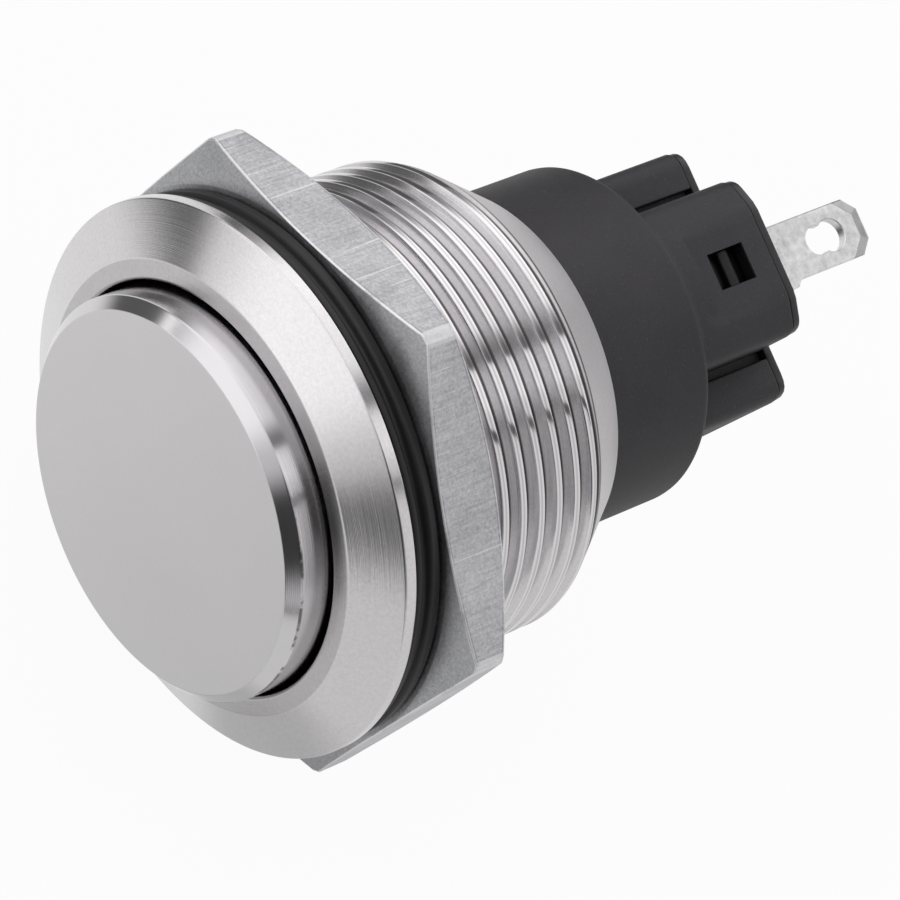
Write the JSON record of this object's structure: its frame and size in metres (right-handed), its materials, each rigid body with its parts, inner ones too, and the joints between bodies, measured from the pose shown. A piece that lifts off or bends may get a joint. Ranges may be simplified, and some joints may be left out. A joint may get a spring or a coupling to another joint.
{
  "type": "vandal resistant push button",
  "caption": "Vandal resistant push button of turned stainless steel, with a raised flat button, panel seal, hexagon nut, black contact housing and solder terminals.",
  "frame": {"origin": "on the button's axis, in the plane of the bezel's back face, which rests on the panel's front", "axes": "+Y along the axis into the panel, towards the terminals, so the button faces -Y; +Z to the switch's top, square to the terminals' flats; +X to the terminals' side with the shoulder"},
  "size_m": [0.0262, 0.0393, 0.0286],
  "materials": {
    "bezel_steel": "turned stainless steel",
    "button_steel": "fine blasted stainless steel with turned edges",
    "clip_steel": "dark spring steel",
    "stem_rubber": "smooth rubber",
    "housing_rubber": "smooth rubber",
    "seal_rubber": "matte moulded rubber",
    "nut_steel": "satin stainless steel with fine scratches",
    "housing_plastic": "matte glass filled black plastic",
    "lock_steel": "drawn spring wire",
    "base_plastic": "matte black plastic",
    "terminal_metal": "matte tinned brass",
    "contact_silver": "silver",
    "bridge_brass": "rolled brass strip",
    "plunger_plastic": "natural white plastic",
    "spring_steel": "drawn spring wire"
  },
  "bodies": {
    "switch_body": {"bezel_housing": "bezel_steel", "stem_seal": "stem_rubber", "housing_seal": "housing_rubber", "panel_seal": "seal_rubber", "contact_housing": "housing_plastic", "housing_lock_ring": "lock_steel", "terminal_base": "base_plastic", "terminal_top": "terminal_metal", "terminal_bottom": "terminal_metal", "fixed_contact_top": "contact_silver", "fixed_contact_bottom": "contact_silver", "plunger_spring": "spring_steel"},
    "button": {"button_cap": "button_steel", "stem_clip": "clip_steel", "return_spring": "spring_steel"},
    "plunger_body": {"plunger": "plunger_plastic", "contact_spring": "spring_steel"},
    "bridge": {"contact_bridge": "bridge_brass", "moving_contact_top": "contact_silver", "moving_contact_bottom": "contact_silver"},
    "nut": {"hex_nut": "nut_steel"}
  },
  "joints": [
    {"name": "button_press", "type": "slide", "parent": "switch_body", "child": "button", "axis": [0, 1, 0], "range_m": [0, 0.0018], "stiffness_N_per_m": 1500, "springref_m": -0.002, "deforming": ["return_spring"]},
    {"name": "plunger_slide", "type": "slide", "parent": "switch_body", "child": "plunger_body", "axis": [0, 1, 0], "range_m": [0, 0.0018], "deforming": ["plunger_spring", "contact_spring"]},
    {"name": "bridge_slide", "type": "slide", "parent": "switch_body", "child": "bridge", "axis": [0, 1, 0], "range_m": [0, 0.0009]},
    {"name": "nut_turn", "type": "hinge", "parent": "switch_body", "child": "nut", "pos_m": [0, 0, 0], "axis": [0, 1, 0], "continuous": true}
  ],
  "couplings": [
    {"joint": "plunger_slide", "follows": "button_press", "ratio": 1},
    {"joint": "bridge_slide", "follows": "button_press", "ratio": 0.48}
  ]
}
